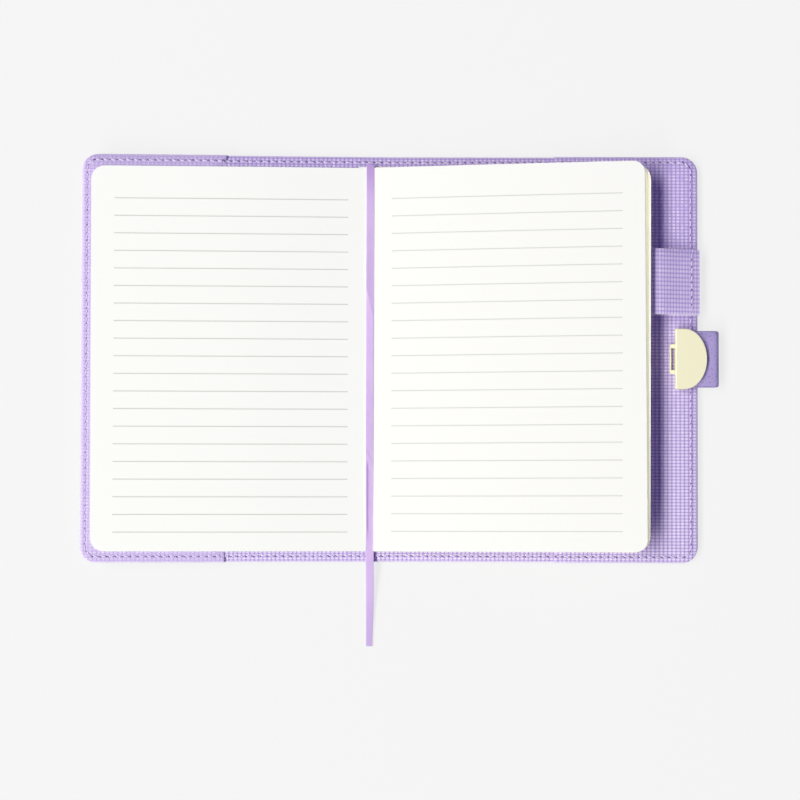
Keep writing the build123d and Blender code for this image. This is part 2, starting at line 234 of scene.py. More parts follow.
class Shader:
    """A material with its nodes, and short ways to add to them."""

    def __init__(self, name, roughness, metallic=0.0, specular=0.5):
        self.material = bpy.data.materials.new(name)
        self.material.use_nodes = True
        self.tree = self.material.node_tree
        self.surface = self.tree.nodes["Principled BSDF"]
        self.surface.inputs["Roughness"].default_value = roughness
        self.surface.inputs["Metallic"].default_value = metallic
        self.surface.inputs["Specular IOR Level"].default_value = specular

    def node(self, kind, **settings):
        made = self.tree.nodes.new(kind)
        for key, value in settings.items():
            setattr(made, key, value)
        return made

    def link(self, source, target):
        self.tree.links.new(source, target)

    def feed(self, target, value):
        if hasattr(value, "is_linked"):
            self.link(value, target)
        else:
            target.default_value = value

    def math(self, operation, first, second=0.0):
        made = self.node("ShaderNodeMath", operation=operation)
        self.feed(made.inputs[0], first)
        self.feed(made.inputs[1], second)
        return made.outputs[0]

    def ramp(self, value, low, high, to_low=0.0, to_high=1.0):
        made = self.node("ShaderNodeMapRange", interpolation_type="SMOOTHSTEP")
        self.feed(made.inputs["Value"], value)
        made.inputs["From Min"].default_value = low
        made.inputs["From Max"].default_value = high
        made.inputs["To Min"].default_value = to_low
        made.inputs["To Max"].default_value = to_high
        return made.outputs["Result"]

    def mix(self, share, first, second):
        made = self.node("ShaderNodeMix", data_type="RGBA")
        self.feed(made.inputs[0], share)
        self.feed(made.inputs[6], first)
        self.feed(made.inputs[7], second)
        return made.outputs[2]

    def flat(self):
        """The flat map's two values, in millimetres, and the map itself."""
        place = self.node("ShaderNodeUVMap", uv_map="flat")
        split = self.node("ShaderNodeSeparateXYZ")
        self.link(place.outputs[0], split.inputs[0])
        return split.outputs[0], split.outputs[1], place.outputs[0]

    def noise(self, vector, scale, detail=2.0, roughness=0.5):
        made = self.node("ShaderNodeTexNoise")
        self.link(vector, made.inputs["Vector"])
        made.inputs["Scale"].default_value = scale
        made.inputs["Detail"].default_value = detail
        made.inputs["Roughness"].default_value = roughness
        return made.outputs["Fac"]

    def stretched(self, vector, scale):
        """The map drawn out or pressed together, for fibres and fine lines."""
        made = self.node("ShaderNodeMapping")
        made.inputs["Scale"].default_value = scale
        self.link(vector, made.inputs["Vector"])
        return made.outputs[0]

    def object_place(self):
        return self.node("ShaderNodeTexCoord").outputs["Object"]

    def colour(self, value):
        self.link(value, self.surface.inputs["Base Color"])

    def bump(self, height, strength, distance):
        made = self.node("ShaderNodeBump")
        self.link(height, made.inputs["Height"])
        made.inputs["Strength"].default_value = strength
        made.inputs["Distance"].default_value = distance
        self.link(made.outputs["Normal"], self.surface.inputs["Normal"])


def embossed(name, cell_x, cell_y, cut_edge=None, painted_light_lift=0, painted_contrast_cut=0):
    """Soft plastic leather pressed into a grid of small pads, paler where a band is cut; shade in its
    grooves, highlights on its pads, more light towards the tail and a highlight on its rolled rim are
    painted.
    """
    # Painted shade and highlight: the colour of the grooves between the pads is painted shade, and the palest
    # colour is a painted highlight.
    groove_shade = linear(172 + painted_light_lift + 1.5 * painted_contrast_cut, 150 + painted_light_lift + 1.5 * painted_contrast_cut, 213 + painted_light_lift + 0.9 * painted_contrast_cut)
    base = linear(203 + painted_light_lift - 0.3 * painted_contrast_cut, 185 + painted_light_lift - 0.3 * painted_contrast_cut, 236 + painted_light_lift - 0.5 * painted_contrast_cut)
    pale = linear(243 - 1.4 * painted_contrast_cut, 233 - 1.4 * painted_contrast_cut, 253 - painted_contrast_cut)
    rolled_rim_highlight = linear(216, 201, 240)
    cut = linear(246, 240, 253)
    squareness = 2.4
    rim_fade = 0.5
    rim_end = 0.05
    rim_share = 0.8
    pad_depth = 0.00012
    shader = Shader(name, 0.42, specular=0.2)
    u, v, place = shader.flat()
    squares = []
    for value, cell in ((u, cell_x), (v, cell_y)):
        part = shader.math("FRACT", shader.math("MULTIPLY", value, 1.0 / cell))
        far = shader.math("MULTIPLY", shader.math("SUBTRACT", part, 0.5), 2.0)
        squares.append(shader.math("POWER", shader.math("ABSOLUTE", far), squareness))
    reach = shader.math("ADD", *squares)
    pad = shader.ramp(reach, 1.15, 0.25)
    # Painted highlight on the middle of each pad, made uneven by a slow noise.
    shine = shader.ramp(reach, 0.4, 0.0)
    spread = shader.ramp(shader.noise(place, 0.35, 3.0, 0.6), 0.3, 0.72)
    # Painted light: the colour grows paler towards the tail, as if more light fell there.
    painted_light_to_tail = shader.ramp(v, 60.0, -cover_half, 0.0, 0.42 - 0.01 * painted_contrast_cut)
    body = shader.mix(pad, groove_shade, shader.mix(painted_light_to_tail, base, pale))
    lit = shader.mix(shader.math("MULTIPLY", shine, spread), body, pale)
    if cut_edge is None:
        side_fade = rim_fade + 0.04 * painted_contrast_cut
        beside = shader.ramp(shader.math("ABSOLUTE", u), cover_reach - side_fade, cover_reach + rim_end)
        above = shader.ramp(shader.math("ABSOLUTE", v), cover_half - rim_fade, cover_half + rim_end)
        rim = shader.math("MAXIMUM", beside, above)
        # The rim loses its pads, which is real, and is painted paler, a painted highlight along the rolled
        # edge.
        lit = shader.mix(shader.math("MULTIPLY", rim, rim_share), lit, rolled_rim_highlight)
        pad = shader.math("MAXIMUM", pad, rim)
    else:
        rim = shader.ramp(shader.math("ABSOLUTE", v), cut_edge - 0.16, cut_edge - 0.06)
        lit = shader.mix(rim, lit, cut)
    shader.colour(lit)
    grain = shader.noise(place, 9.0, 2.0, 0.6)
    height = shader.math("ADD", pad, shader.math("MULTIPLY", grain, 0.15))
    shader.bump(height, 0.5, pad_depth)
    return shader.material


lavender = embossed("embossed_lavender", pad_long, pad_short)
# Copies painted for the light: the front cover's has weaker painted shade and highlight, and the band's is
# painted lighter, as if better lit.
lavender_front = embossed("embossed_lavender_front", pad_long, pad_short, painted_contrast_cut=15)
lavender_turned = embossed("embossed_lavender_turned", pad_short, pad_long, cut_edge=loop_half, painted_light_lift=12)


def smooth_leather():
    """Darker grained leather with specks, and dark cut edges."""
    edge_start = strap_half - 0.55
    edge_end = strap_half - 0.15
    grain_depth = 0.00008
    shader = Shader("strap_leather", 0.5)
    _, v, place = shader.flat()
    fine = shader.noise(place, 2.6, 4.0, 0.65)
    specks = shader.ramp(shader.noise(place, 1.3, 2.0, 0.5), 0.58, 0.68)
    body = shader.mix(shader.ramp(fine, 0.35, 0.7), linear(158, 143, 198), linear(184, 170, 220))
    body = shader.mix(shader.math("MULTIPLY", specks, 0.75), body, linear(104, 87, 146))
    edge = shader.ramp(shader.math("ABSOLUTE", v), edge_start, edge_end, 0.0, 0.6)
    shader.colour(shader.mix(edge, body, linear(112, 97, 152)))
    shader.bump(fine, 0.35, grain_depth)
    return shader.material


strap_leather = smooth_leather()


def plain(name, colour, roughness, grain_scale, grain_share, metallic=0.0, bump=0.1):
    """Plain material with a little grain in colour and height, read in object space."""
    grain_depth = 0.00005
    shader = Shader(name, roughness, metallic)
    grain = shader.noise(shader.object_place(), grain_scale, 3.0, 0.6)
    dark = tuple(value * (1.0 - grain_share) for value in colour[:3]) + (1.0,)
    shader.colour(shader.mix(shader.ramp(grain, 0.3, 0.7), dark, colour))
    shader.bump(grain, bump, grain_depth)
    return shader.material


thread = plain("lilac_thread", linear(222, 206, 242), 0.5, 4000.0, 0.2, bump=0.3)
# Painted shade: a dark mark stands in for the shade inside each needle hole.
needle_hole_shade = plain("needle_hole_shade", linear(86, 66, 128), 0.8, 3000.0, 0.2)
card = plain("card", linear(244, 242, 234), 0.8, 900.0, 0.04)
glue = plain("glue", linear(236, 232, 214), 0.5, 700.0, 0.05)
board = plain("grey_board", linear(168, 158, 140), 0.9, 800.0, 0.15)
steel = plain("satin_steel", linear(202, 198, 190), 0.38, 2500.0, 0.06, metallic=1.0)
pale_gold = plain("pale_gold", linear(239, 234, 203), 0.42, 1800.0, 0.02, metallic=0.55, bump=0.04)


def ruled_paper(name, first_line, last_line, line_start, line_end, ink, tone, lean):
    """Off-white paper with fine grey lines, which may lean across the page."""
    line_gaps = 19
    half_line = 0.19
    edge = 0.1
    fibre_shade = 3
    fibre_depth = 0.00003
    shader = Shader(name, 0.85, specular=0.25)
    u, v, place = shader.flat()
    pitch = (first_line - last_line) / line_gaps
    upright = shader.math("SUBTRACT", v, shader.math("MULTIPLY", u, lean))
    steps = shader.math("MULTIPLY", shader.math("SUBTRACT", first_line, upright), 1.0 / pitch)
    nearest = shader.math("ROUND", steps)
    far = shader.math("MULTIPLY", shader.math("ABSOLUTE", shader.math("SUBTRACT", steps, nearest)), pitch)
    inked = shader.ramp(far, half_line + edge, half_line - edge)
    for limit in (shader.ramp(u, line_start - edge, line_start + edge),
                  shader.ramp(u, line_end + edge, line_end - edge),
                  shader.ramp(nearest, -0.6, -0.4),
                  shader.ramp(nearest, line_gaps + 0.6, line_gaps + 0.4)):
        inked = shader.math("MULTIPLY", inked, limit)
    fibres = shader.noise(place, 6.0, 4.0, 0.65)
    darker = linear(*(value - fibre_shade for value in tone))
    sheet = shader.mix(shader.ramp(fibres, 0.3, 0.7), darker, linear(*tone))
    shader.colour(shader.mix(inked, sheet, ink))
    shader.bump(fibres, 0.05, fibre_depth)
    return shader.material


def page_edges():
    """Trimmed edges of the sheets: cream, with fine lines, and a painted glow that stands in for light,
    stronger where the fanned sheets face the fore-edge.
    """
    stops = ((0.0, (238, 235, 216)), (0.8, (237, 234, 214)), (0.86, (248, 246, 232)), (0.89, (248, 246, 232)),
             (0.905, (252, 248, 217)), (0.98, (250, 245, 208)), (0.99, (250, 250, 246)))
    sheet_lines = (0.05, 60.0, 1.0)
    line_depth = 0.00005
    painted_glow = 0.13
    painted_glow_fanned = 0.3
    shader = Shader("page_edges", 0.85, specular=0.2)
    _, v, place = shader.flat()
    ramp = shader.node("ShaderNodeValToRGB")
    while len(ramp.color_ramp.elements) < len(stops):
        ramp.color_ramp.elements.new(0.5)
    for element, (place_in_ramp, colour) in zip(ramp.color_ramp.elements, stops):
        element.position = place_in_ramp
        element.color = linear(*colour)
    shader.link(v, ramp.inputs["Fac"])
    lines = shader.noise(shader.stretched(place, sheet_lines), 4.0, 2.0, 0.6)
    shade = shader.ramp(lines, 0.35, 0.65, 0.0, 0.16)
    shader.colour(shader.mix(shade, ramp.outputs["Color"], linear(176, 172, 140)))
    shader.bump(lines, 0.2, line_depth)
    # Painted light: the edges glow by emission, though they are no lamp, most on the fanned fore-edge.
    shader.surface.inputs["Emission Color"].default_value = linear(253, 253, 210)
    geometry = shader.node("ShaderNodeNewGeometry")
    facing = shader.node("ShaderNodeSeparateXYZ")
    shader.link(geometry.outputs["Normal"], facing.inputs[0])
    fore_edge_share = shader.ramp(facing.outputs["X"], 0.25, 0.5)
    fanned_glow = shader.math("MULTIPLY", fore_edge_share, shader.ramp(v, 0.87, 0.9, 0.0, painted_glow_fanned))
    shader.link(shader.math("ADD", fanned_glow, painted_glow), shader.surface.inputs["Emission Strength"])
    return shader.material


# The two papers are lit and shaded copies: the left page's tone is painted lighter and the right page's
# darker, to even out how their slopes face the lamp.
left_paper = ruled_paper("ruled_paper_left", first_line=61.05, last_line=-66.6, line_start=-105.6,
                         line_end=-16.2, ink=linear(207, 209, 202), tone=(252, 253, 249), lean=0.0)
right_lean = page_lean / page_width
right_drop = right_lean * (block_left + block_right) / 2
right_paper = ruled_paper("ruled_paper_right", first_line=61.92 - right_drop, last_line=-65.72 - right_drop,
                          line_start=0.4, line_end=87.6, ink=linear(213, 215, 209), tone=(248, 248, 245),
                          lean=right_lean)
edge_paper = page_edges()


def satin():
    """Woven ribbon with long fibres, darker towards its tail and its head."""
    weave = (14.0, 0.35, 1.0)
    fibre_depth = 0.00004
    shader = Shader("lilac_satin", 0.5, specular=0.3)
    _, v, place = shader.flat()
    fibres = shader.noise(shader.stretched(place, weave), 1.0, 3.0, 0.6)
    soft = shader.ramp(shader.noise(place, 0.09, 2.0, 0.5), 0.45, 0.7)
    body = shader.mix(shader.ramp(fibres, 0.3, 0.7), linear(204, 175, 228), linear(217, 190, 237))
    body = shader.mix(shader.math("MULTIPLY", soft, 0.35), body, linear(224, 196, 239))
    body = shader.mix(shader.ramp(v, -84.0, -108.0, 0.0, 0.6), body, linear(192, 168, 222))
    shader.colour(shader.mix(shader.ramp(v, 58.0, 76.0, 0.0, 0.8), body, linear(176, 142, 208)))
    shader.surface.inputs["Sheen Weight"].default_value = 0.15
    shader.bump(fibres, 0.06, fibre_depth)
    return shader.material


ribbon_satin = satin()


# Camera, light and floor

def make_camera():
    focal_px = 1103.91
    frame_px = 800.0
    place_mm = Vector((1.875, -22.901, 427.604))
    turn = Euler((0.0164, 0.0051, 0.0029), "XYZ")
    lens = bpy.data.cameras.new("camera")
    lens.sensor_width = 36.0
    lens.lens = lens.sensor_width * focal_px / frame_px
    lens.clip_start = 0.01
    lens.clip_end = 20.0
    camera = bpy.data.objects.new("camera", lens)
    camera.location = place_mm * MM
    camera.rotation_euler = turn
    bpy.context.scene.collection.objects.link(camera)
    bpy.context.scene.camera = camera


def seen_directly(tree):
    """Share that is 1 for rays from the camera and from shiny or clear surfaces, and 0 for the rest."""
    rays = tree.nodes.new("ShaderNodeLightPath")
    seen = rays.outputs["Is Camera Ray"]
    for kind in ("Is Glossy Ray", "Is Transmission Ray"):
        larger = tree.nodes.new("ShaderNodeMath")
        larger.operation = "MAXIMUM"
        tree.links.new(seen, larger.inputs[0])
        tree.links.new(rays.outputs[kind], larger.inputs[1])
        seen = larger.outputs[0]
    return seen


def choose(tree, share, first, second, output):
    """Links the first shader to the output where the share is 0, and the second where it is 1."""
    choice = tree.nodes.new("ShaderNodeMixShader")
    tree.links.new(share, choice.inputs[0])
    tree.links.new(first.outputs[0], choice.inputs[1])
    tree.links.new(second.outputs[0], choice.inputs[2])
    tree.links.new(choice.outputs[0], tree.nodes[output].inputs["Surface"])


def make_light():
    """A long lamp on the left, and a weak violet glow from all sides that is seen as white."""
    distance = 4.0
    towards = Vector((-0.676, 0.0, 0.737))
    offset = Vector((0.0, -3.25, 0.0))
    key = bpy.data.lights.new("key", "AREA")
    key.shape = "RECTANGLE"
    key.color = (0.985, 1.0, 0.86)
    key.size = 11.2
    key.size_y = 1.33
    key.energy = 469.0
    lamp = bpy.data.objects.new("key", key)
    lamp.location = distance * towards + offset
    lamp.rotation_euler = towards.to_track_quat("Z", "Y").to_euler()
    bpy.context.scene.collection.objects.link(lamp)
    world = bpy.data.worlds.new("studio")
    world.use_nodes = True
    bpy.context.scene.world = world
    tree = world.node_tree
    ambient = tree.nodes["Background"]
    ambient.inputs["Color"].default_value = (0.3, 0.2, 1.0, 1.0)
    ambient.inputs["Strength"].default_value = 0.178
    bright = tree.nodes.new("ShaderNodeBackground")
    bright.inputs["Color"].default_value = (1.0, 1.0, 1.0, 1.0)
    bright.inputs["Strength"].default_value = 0.95
    choose(tree, seen_directly(tree), ambient, bright, "World Output")


def make_floor():
    """Pale floor that is mostly shown in its own colour and still takes the shadow."""
    half = 3.0
    level = -0.0002
    own_share = 0.86
    tone = linear(245, 245, 245)
    corners = [(-half, -half, level), (half, -half, level), (half, half, level), (-half, half, level)]
    shader = Shader("pale_floor", 0.9, specular=0.0)
    shader.surface.inputs["Base Color"].default_value = tone
    glow = shader.node("ShaderNodeEmission")
    glow.inputs["Color"].default_value = tone
    share = shader.math("MULTIPLY", seen_directly(shader.tree), own_share)
    choose(shader.tree, share, shader.surface, glow, "Material Output")
    floor = make_piece("floor", corners, [(0, 1, 2, 3)], [(0.0, 0.0)] * 4, shader.material)


make_camera()
make_light()
make_floor()


# Ribbon marker

ribbon_x = -7.9
ribbon_width = 3.0
ribbon_thickness = 0.25
tail_drift = 0.25
ribbon_route = [
    (74.7, 3.74),
    (73.9, 3.77),
    (66.0, 3.82),
    (40.0, 3.8),
    (2.0, 3.9),
    (-36.0, 3.8),
    (-62.0, 3.84),
    (-78.0, 3.3),
    (-88.0, 1.7),
    (-97.0, 0.55),
    (-110.9, 0.25),
]


def spline_points(route):
    """Points of a smooth spline with the route as its control points."""
    curve = bpy.data.curves.new("ribbon_line", "CURVE")
    curve.dimensions = "3D"
    spline = curve.splines.new("NURBS")
    spline.points.add(len(route) - 1)
    for point, place in zip(spline.points, route):
        point.co = (*place, 1.0)
    spline.order_u = 3
    spline.use_endpoint_u = True
    spline.resolution_u = 40
    carrier = bpy.data.objects.new("ribbon_line", curve)
    mesh = bpy.data.meshes.new_from_object(carrier)
    points = [vertex.co.copy() for vertex in mesh.vertices]
    bpy.data.objects.remove(carrier)
    bpy.data.meshes.remove(mesh)
    bpy.data.curves.remove(curve)
    return points


def ribbon_lift(across, y):
    """How far the soft ribbon stands off its line: two flattened twists and a lengthwise crease."""
    fold = 0.4
    first_place = 21.6
    first_slant = 3.7
    second_place = -37.5
    second_slant = 2.6
    first_twist = y - (first_place - first_slant * across)
    second_twist = y - (second_place - second_slant * across)
    above = -0.14 * smooth_step(62.0, 26.0, y)
    below = 0.13 * smooth_step(-30.0, 16.0, y)
    lift = across * (above + (below - above) * smooth_step(fold, -fold, first_twist))
    lift += 0.12 * smooth_step(-6.0, -fold, second_twist) * smooth_step(fold, -fold, second_twist)
    crease = smooth_step(-38.0, -42.0, y) * smooth_step(-71.0, -64.0, y)
    lift += crease * (0.3 * smooth_step(-0.3, -0.75, across) - 0.16)
    return lift


def make_ribbon():
    columns = 12
    edge_rounding = 0.35
    tip_trim = 0.17
    trimmed_run = (-92.0, -110.0)
    drifting_run = (-40.0, -90.0)
    route = [(ribbon_x + tail_drift * smooth_step(*drifting_run, y), y, z) for y, z in ribbon_route]
    line = spline_points([back(*place) for place in route])
    points, flat, faces = [], [], []
    half = ribbon_width / 2
    for place in line:
        y = place.y / MM
        for layer in (1, -1):
            for column in range(columns + 1):
                across = 2.0 * column / columns - 1.0
                rounding = edge_rounding * smooth_step(0.85, 1.0, abs(across))
                rise = ribbon_lift(across, y) + layer * ribbon_thickness / 2 * (1.0 - rounding)
                trimmed = tip_trim * half * smooth_step(*trimmed_run, y) * (1.0 + across)
                points.append(place + Vector((across * half - trimmed, 0.0, rise)) * MM)
                flat.append((across * half, y))
    width = columns + 1
    for row in range(len(line) - 1):
        a, b = row * 2 * width, (row + 1) * 2 * width
        for column in range(columns):
            faces.append((a + column, a + column + 1, b + column + 1, b + column))
            under_a, under_b = a + width + column, b + width + column
            faces.append((under_a, under_b, under_b + 1, under_a + 1))
        for column in (0, columns):
            faces.append((a + column, b + column, b + width + column, a + width + column))
    for row in (0, len(line) - 1):
        a = row * 2 * width
        for column in range(columns):
            faces.append((a + column, a + column + 1, a + width + column + 1, a + width + column))
    piece = make_piece("ribbon", points, faces, flat, ribbon_satin, band_sharp)
    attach(piece, "page_block")
    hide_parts("ribbon_marker")
    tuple(line[0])


make_ribbon()


# Cover

def spine_stations():
    """Places along the cover, close together where the spine bends."""
    wide = [-105.0, -85.0, -63.0, -45.0, -30.0, -22.0]
    bend = [bend_half * step / 10.0 for step in range(-14, 15)]
    return wide + bend + [-x for x in reversed(wide)]


def hinge_blend(piece):
    """Bakes the piece's placement into its mesh, for a piece that lies across the spine."""
    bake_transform(piece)


def from_rim(x, y):
    """Distance of a point from the cover's rim, in plan."""
    beside = abs(x) - (cover_reach - cover_corner)
    above = abs(y) - (cover_half - cover_corner)
    if beside > 0 and above > 0:
        return cover_corner - math.hypot(beside, above)
    return cover_corner - max(beside, above)


def sewn_level(x, y, height):
    """Lowers what lies on the outer skin towards the rim, where the seam pulls the sheets together."""
    steepness = 1.5
    share = max(1.0 - max(from_rim(x, y), 0.0) / rim_slope, 0.0)
    beside = max(abs(x) - (cover_reach - cover_corner), 0.0)
    above = max(abs(y) - (cover_half - cover_corner), 0.0)
    turn = math.atan2(above, beside) / (math.pi / 2) if share > 0 else 0.0
    end_drop = head_drop if y > 0 else tail_drop
    drop = side_drop + (end_drop - side_drop) * turn
    return height - drop * share ** steepness * smooth_step(rim_level, firm_level, height)


def make_cover():
    reach = cover_reach + soft_growth
    outline = (-reach, reach, cover_half + soft_growth, cover_corner, cover_corner)
    stations = spine_stations()
    skin_profile = [(6.0, 0.0), (1.6, 0.0), (0.8, 0.05), (0.3, 0.2), (0.06, 0.42), (0.0, rim_level),
                    (0.1, lining_low - 0.05), (0.35, lining_low), (1.5, lining_low), (3.0, lining_low),
                    (5.0, lining_low)]
    skin = closed_sheet("cover_skin", outline, skin_profile, cover, lavender, sewn_level, stations)
    hinge_blend(skin)
    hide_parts("back_outer_skin", "spine_skin", "spine_padding", "front_outer_skin")
    lining_profile = [(6.0, lining_low), (3.0, lining_low), (0.4, lining_low), (0.12, lining_low + 0.12),
                      (0.1, lining_top - 0.16), (0.3, lining_top - 0.02), (0.8, lining_top + 0.05),
                      (1.4, lining_top + 0.02), (stitch_inset, lining_top - seam_dip),
                      (2.7, lining_top + 0.02), (3.4, lining_top + 0.03), (5.0, lining_top)]
    lining = closed_sheet("cover_lining", outline, lining_profile, cover, lavender, sewn_level, stations)
    hinge_blend(lining)
    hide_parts("back_lining", "spine_lining", "front_lining")


def pocket_level(x, y, height):
    """Keeps the underside of a pocket off the lining, except along its sewn edges."""
    if from_rim(x, y) > seam_width:
        return sewn_level(x, y, max(height, pocket_low))
    return sewn_level(x, y, height)


def make_pocket(side, name, node, body, place, material):
    overlap = 0.05
    mouth_corner = 0.4
    sewn_low = lining_top + 0.05
    reach = cover_reach + soft_growth + overlap
    half = cover_half + soft_growth + overlap
    if side > 0:
        outline = (pocket_mouth, reach, half, mouth_corner, cover_corner)
    else:
        outline = (-reach, -pocket_mouth, half, cover_corner, mouth_corner)
    seam = right_stitch_inset if side > 0 else left_stitch_inset
    profile = [(8.0, pocket_low), (3.2, pocket_low), (3.0, sewn_low), (1.5, sewn_low), (0.5, sewn_low),
               (0.08, lining_top + 0.2), (0.0, lining_top + 0.45), (0.12, pocket_top - 0.1),
               (0.45, pocket_top + 0.04), (0.9, pocket_top + 0.06), (1.5, pocket_top + 0.02),
               (seam, pocket_top - seam_dip), (2.9, pocket_top + 0.02), (3.6, pocket_top + 0.02),
               (6.0, pocket_top), (8.0, pocket_top)]
    piece = closed_sheet(name, outline, profile, place, material, pocket_level)
    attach(piece, body)
    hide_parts(node)


make_cover()
make_pocket(-1, "front_pocket_sheet", "front_pocket", "front_cover", front, lavender_front)
make_pocket(1, "back_pocket_sheet", "back_pocket", "back_cover", back, lavender)


# Stitches

def seam_path():
    """Points and directions along the seam, one per stitch, right round the cover."""
    x_left = -cover_reach + left_stitch_inset
    x_right = cover_reach - right_stitch_inset
    y_far = cover_half - stitch_inset
    radius = cover_corner - stitch_inset
    runs = []
    long_side = x_right - x_left - 2 * radius
    short_side = 2 * (y_far - radius)
    quarter = math.pi / 2 * radius
    total = 2 * (long_side + short_side + 2 * quarter)
    count = round(total / stitch_pitch)
    lengths = [long_side, quarter, short_side, quarter] * 2
    for number in range(count):
        left = total * number / count
        piece = 0
        while left > lengths[piece]:
            left -= lengths[piece]
            piece += 1
        runs.append((piece, left))
    made = []
    starts = [(x_left + radius, y_far), (x_right, y_far - radius),
              (x_right - radius, -y_far), (x_left, -y_far + radius)]
    for piece, along in runs:
        turn = -math.pi / 2 * (piece // 2)
        if piece % 2 == 0:
            x, y = starts[piece // 2]
            made.append((x + along * math.cos(turn), y + along * math.sin(turn), turn))
        else:
            heading = turn - along / radius
            corner_x = x_right - radius if piece in (1, 3) else x_left + radius
            corner_y = (y_far - radius) * (1 if piece in (1, 7) else -1)
            x = corner_x - radius * math.sin(heading)
            y = corner_y + radius * math.cos(heading)
            made.append((x, y, heading))
    return made


def add_capsule(made, place, spot, heading, length, radius, squash):
    """Short rounded stroke in the seam: a stitch of thread, or a dark mark of painted shade in a needle hole.
    """
    sides = 8
    rings = ((-0.46, 0.5), (-0.36, 0.87), (-0.15, 1.0), (0.15, 1.0), (0.36, 0.87), (0.46, 0.5))
    points, faces, flat = made
    x, y, z = spot
    around = [2 * math.pi * side / sides for side in range(sides)]
    spots = [(-0.5, 0.0, 0.0)]
    for along, wide in rings:
        spots += [(along, wide * math.cos(angle), wide * math.sin(angle)) for angle in around]
    spots += [(0.5, 0.0, 0.0)]
    tip = len(points)
    for along, sideways, up in spots:
        px = x + along * length * math.cos(heading) - radius * sideways * math.sin(heading)
        py = y + along * length * math.sin(heading) + radius * sideways * math.cos(heading)
        points.append(place(px, py, z + radius * squash * up))
        flat.append((px, py))
    first = tip + 1
    last = first + (len(rings) - 1) * sides
    for side in range(sides):
        after = (side + 1) % sides
        faces.append((tip, first + after, first + side))
        for a in range(first, last, sides):
            faces.append((a + side, a + after, a + sides + after, a + sides + side))
        faces.append((last + side, last + after, last + sides))


def seam_level(x, y):
    """Height of the seam: lower on the spine, where there is no pocket."""
    return sewn_level(x, y, pocket_top if abs(x) > pocket_mouth else lining_top)


def make_stitches():
    soft_half = 21.0
    level_limit = 0.7
    thread_lift = 0.06
    level_radius = 0.3
    upright_radius = 0.24
    hole_radius = 0.18
    places = {"front": front, "back": back, "spine": cover}
    threads = {name: ([], [], []) for name in places}
    holes = {name: ([], [], []) for name in places}
    for x, y, heading in seam_path():
        name = "spine" if abs(x) < soft_half else ("front" if x < 0 else "back")
        is_level = abs(math.cos(heading)) > level_limit
        z = seam_level(x, y)
        slant = heading - math.radians(draw.uniform(10.0, 20.0))
        length = stitch_pitch * draw.uniform(0.6, 0.74)
        radius = level_radius if is_level else upright_radius
        spot = (x, y, z + thread_lift)
        add_capsule(threads[name], places[name], spot, slant, length, radius, thread_squash)
        # Dark mark of painted shade where the needle went through.
        hole_x = x + 0.5 * stitch_pitch * math.cos(heading)
        hole_y = y + 0.5 * stitch_pitch * math.sin(heading)
        size = draw.uniform(0.6, 1.5) if is_level else draw.uniform(0.35, 0.8)
        slit = heading - math.radians(draw.uniform(28.0, 48.0))
        add_capsule(holes[name], places[name], (hole_x, hole_y, z), slit, size, hole_radius, hole_squash)
    for name in places:
        for label, made, material in (("stitches_", threads[name], thread),
                                      ("needle_holes_", holes[name], needle_hole_shade)):
            piece = make_piece(label + name, *made, material)
            if name == "spine":
                hinge_blend(piece)
            else:
                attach(piece, name + "_cover")


make_stitches()


# Pages

def page_slab(x_left, x_right, low, high, half, middle, stations, jitter=(0.0, 0.0), low_right=None,
              corner=page_corner, turned=0.0, root=()):
    """Points and faces of a stack of sheets: square at the gutter, rounded at the fore-edge."""
    corner_steps = 7
    points, faces = [], []
    right_low = x_right if low_right is None else low_right
    shares = [i / stations for i in range(stations)] + [1.0]
    for level, right in ((low, right_low), (high, x_right)):
        right = right - jitter[0]
        reach = half - jitter[1]
        straight = right - corner
        places = [x_left + (straight - x_left) * share for share in shares]
        places += [x_left + step for step in root]
        rows = [(x, reach) for x in sorted(places)]
        for step in range(1, corner_steps + 1):
            angle = math.pi / 2 * step / corner_steps
            rows.append((straight + corner * math.sin(angle), reach - corner * (1 - math.cos(angle))))
        for x, y_reach in rows:
            for side in (1, -1):
                y = middle(x) + side * y_reach
                across = (x - x_left) / (right - x_left)
                points.append((x - turned * y * across, y, level(x)))
    count = len(points) // 2
    columns = count // 2
    for i in range(columns - 1):
        a = 2 * i
        for start in (0, count):
            faces.append((start + a, start + a + 1, start + a + 3, start + a + 2))
        faces.append((a, a + 2, count + a + 2, count + a))
        faces.append((a + 1, count + a + 1, count + a + 3, a + 3))
    faces.append((0, 1, count + 1, count))
    last = count - 2
    faces.append((last, count + last, count + last + 1, last + 1))
    return points, faces


def block_middle(fanned):
    """How far the sheets lie up the page, as a function of x: the fanned ones are turned a little."""
    straight_share = 0.4
    lean = page_lean * (straight_share + (1.0 - straight_share) * fanned)
    start = block_shift - right_page_drop - page_lean / 2
    return lambda x: start + lean * (x - block_left) / page_width


def fan_share(share):
    return max(share - fan_start, 0.0) / (1.0 - fan_start)


def fore_edge(share, fans=True):
    """Where the sheets end: upright, except that the uppermost sheets stand back and fan out."""
    if not fans:
        return block_right
    return block_right - page_ledge - (page_fan - page_ledge) * fan_share(share)


def block_surface(share, lift=0.0):
    """Height of the sheet at this share of the block, as a function of x."""
    right = fore_edge(share)
    def level(x):
        t = (x - block_left) / (right - block_left)
        slope = bound_thickness + (block_rise - bound_thickness) * t
        return pocket_top + share * (slope + 4.0 * page_crown * t * (1.0 - t)) + lift
    return level


def shifted(faces, start):
    """Faces of a slab, counted on from the points that are there already."""
    return [tuple(start + i for i in face) for face in faces]


